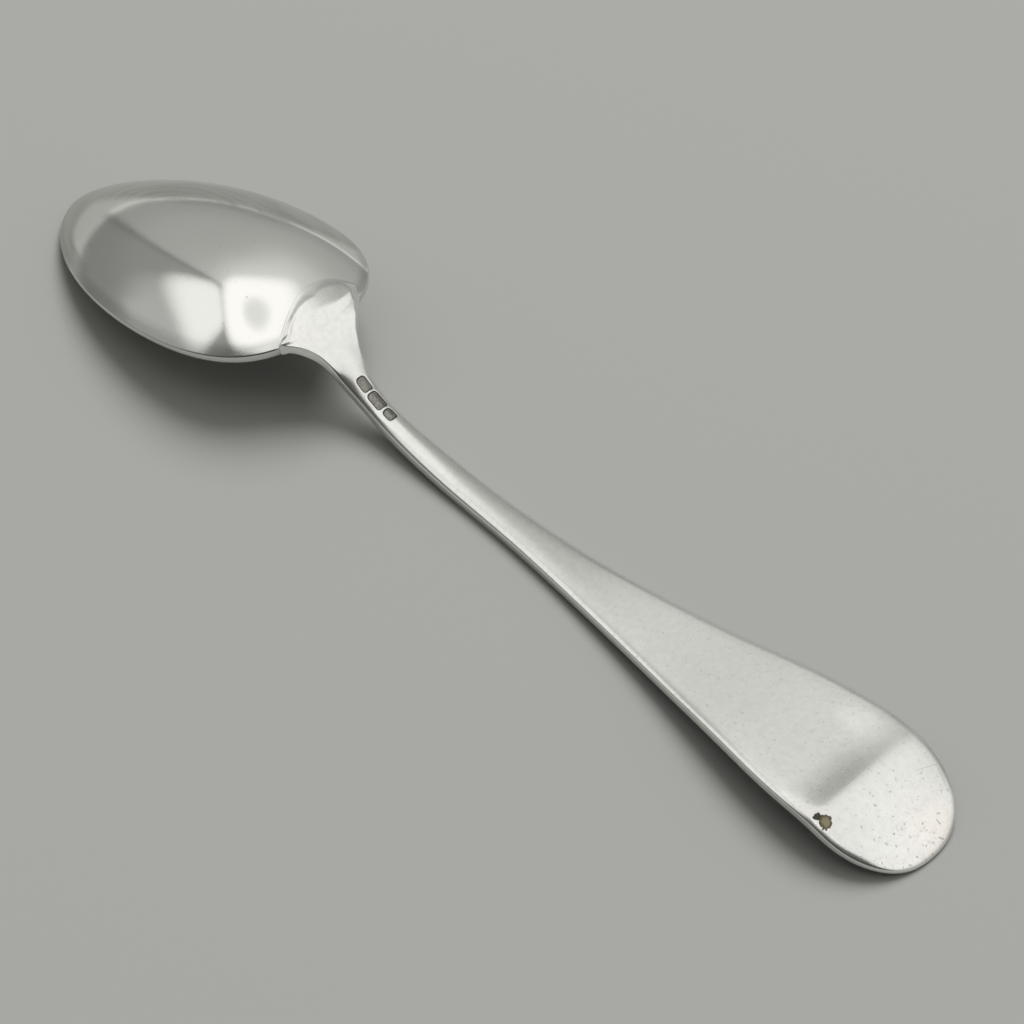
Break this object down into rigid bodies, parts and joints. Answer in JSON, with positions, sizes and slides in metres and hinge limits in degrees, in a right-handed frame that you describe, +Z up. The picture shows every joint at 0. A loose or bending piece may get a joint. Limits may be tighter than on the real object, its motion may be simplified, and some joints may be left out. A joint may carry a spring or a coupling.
{
  "type": "teaspoon",
  "caption": "Silver-plated teaspoon lying face down, with a pointed oval bowl, a slim stem and a broad rounded handle end that turns down.",
  "frame": {"origin": "on the counter, under the middle of the spoon's length and width", "axes": "+X along the spoon from the bowl's tip to the handle's end, +Z up from the counter, with the bowl's back uppermost"},
  "size_m": [0.138, 0.0288, 0.0137],
  "materials": {
    "bowl_silver": "polished silver plate with fine wear",
    "handle_silver": "worn satin silver plate"
  },
  "bodies": {
    "root": {"bowl": "bowl_silver", "handle": "handle_silver"}
  },
  "joints": []
}
